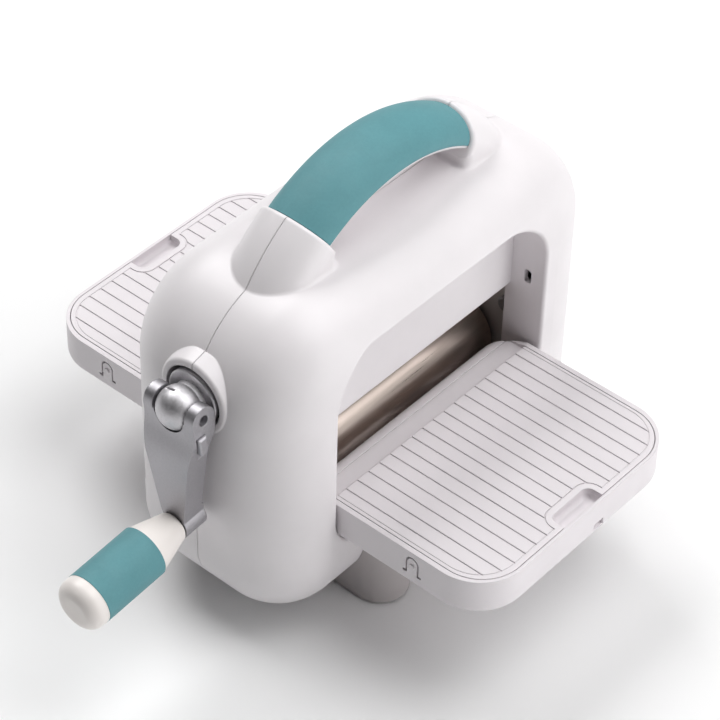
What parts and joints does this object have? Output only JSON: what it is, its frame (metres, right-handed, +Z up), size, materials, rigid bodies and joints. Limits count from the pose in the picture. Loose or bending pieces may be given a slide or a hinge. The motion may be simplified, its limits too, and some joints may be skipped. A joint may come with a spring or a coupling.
{
  "type": "die cutting machine",
  "caption": "Tabletop hand-cranked roller die cutter with rounded housing, arched carry handle, folding feed trays and a folding crank.",
  "frame": {"origin": "on the floor plane, under the middle of the trays and of the feed gap", "axes": "+X along the rollers away from the crank, +Y through the feed from the front tray to the rear tray, +Z up"},
  "size_m": [0.2595, 0.2298, 0.1827],
  "materials": {
    "shell_white": "satin white moulded plastic",
    "tray_grey": "fine matt light grey plastic",
    "teal_soft": "soft-touch teal overmould",
    "cream_plastic": "satin off-white plastic",
    "satin_metal": "satin die-cast metal",
    "roller_steel": "ground steel",
    "shaft_steel": "turned steel",
    "screw_steel": "zinc-plated steel",
    "gear_steel": "sintered steel",
    "frame_paint": "light grey paint on steel plate",
    "bush_bronze": "sintered bronze",
    "foot_grey": "matt warm grey plastic",
    "pad_rubber": "dark rubber"
  },
  "bodies": {
    "frame": {"front_shell": "shell_white", "rear_shell": "shell_white", "carry_handle_bar": "shell_white", "carry_grip_cover": "teal_soft", "left_foot": "foot_grey", "right_foot": "foot_grey", "rubber_foot_pads": "pad_rubber", "foot_screws": "screw_steel", "shell_screws": "screw_steel", "left_side_plate": "frame_paint", "right_side_plate": "frame_paint", "tie_rods": "shaft_steel", "tie_rod_screws": "screw_steel", "chassis_screws": "screw_steel", "roller_bushes": "bush_bronze", "crank_bush": "bush_bronze"},
    "crank": {"crank_shaft": "shaft_steel", "crank_shaft_clip": "screw_steel", "crank_pinion": "gear_steel", "crank_hub": "satin_metal", "fork_pin": "shaft_steel"},
    "arm": {"crank_arm": "satin_metal", "handle_spindle": "shaft_steel", "handle_keeper_screw": "screw_steel"},
    "lock": {"fold_lock_slide": "satin_metal"},
    "grip": {"handle_cone": "cream_plastic", "handle_sleeve": "teal_soft", "handle_end_cap": "cream_plastic"},
    "upper_roll": {"upper_roller": "roller_steel", "upper_roller_clips": "screw_steel", "roller_drive_gear": "gear_steel", "upper_timing_gear": "gear_steel"},
    "lower_roll": {"lower_roller": "roller_steel", "lower_roller_clips": "screw_steel", "lower_timing_gear": "gear_steel"},
    "front_tray": {"front_tray_tub": "tray_grey", "front_tray_lid": "tray_grey", "front_tray_hinge_pins": "shaft_steel"},
    "rear_tray": {"rear_tray_tub": "tray_grey", "rear_tray_lid": "tray_grey", "rear_tray_hinge_pins": "shaft_steel"}
  },
  "joints": [
    {"name": "crank_turn", "type": "hinge", "parent": "frame", "child": "crank", "pos_m": [-0.08, 0, 0.1165], "axis": [1, 0, 0], "continuous": true},
    {"name": "upper_roller_turn", "type": "hinge", "parent": "frame", "child": "upper_roll", "pos_m": [0, 0, 0.0925], "axis": [1, 0, 0], "continuous": true},
    {"name": "lower_roller_turn", "type": "hinge", "parent": "frame", "child": "lower_roll", "pos_m": [0, 0, 0.0475], "axis": [1, 0, 0], "continuous": true},
    {"name": "arm_fold", "type": "hinge", "parent": "crank", "child": "arm", "pos_m": [-0.1004, 0, 0.1165], "axis": [0, 0.9972, -0.075], "range_deg": [0, 110]},
    {"name": "handle_spin", "type": "hinge", "parent": "arm", "child": "grip", "pos_m": [-0.09622, -0.00389, 0.06471], "axis": [0.9968, 0.006, 0.08], "continuous": true},
    {"name": "lock_slide", "type": "slide", "parent": "arm", "child": "lock", "axis": [0.0802, -0.0747, -0.994], "range_m": [0, 0.003]},
    {"name": "front_tray_fold", "type": "hinge", "parent": "frame", "child": "front_tray", "pos_m": [0, -0.03765, 0.05395], "axis": [-1, 0, 0], "range_deg": [0, 90]},
    {"name": "rear_tray_fold", "type": "hinge", "parent": "frame", "child": "rear_tray", "pos_m": [0, 0.03765, 0.05395], "axis": [1, 0, 0], "range_deg": [0, 90]}
  ],
  "couplings": [
    {"joint": "upper_roller_turn", "follows": "crank_turn", "ratio": -0.6},
    {"joint": "lower_roller_turn", "follows": "crank_turn", "ratio": 0.6}
  ]
}
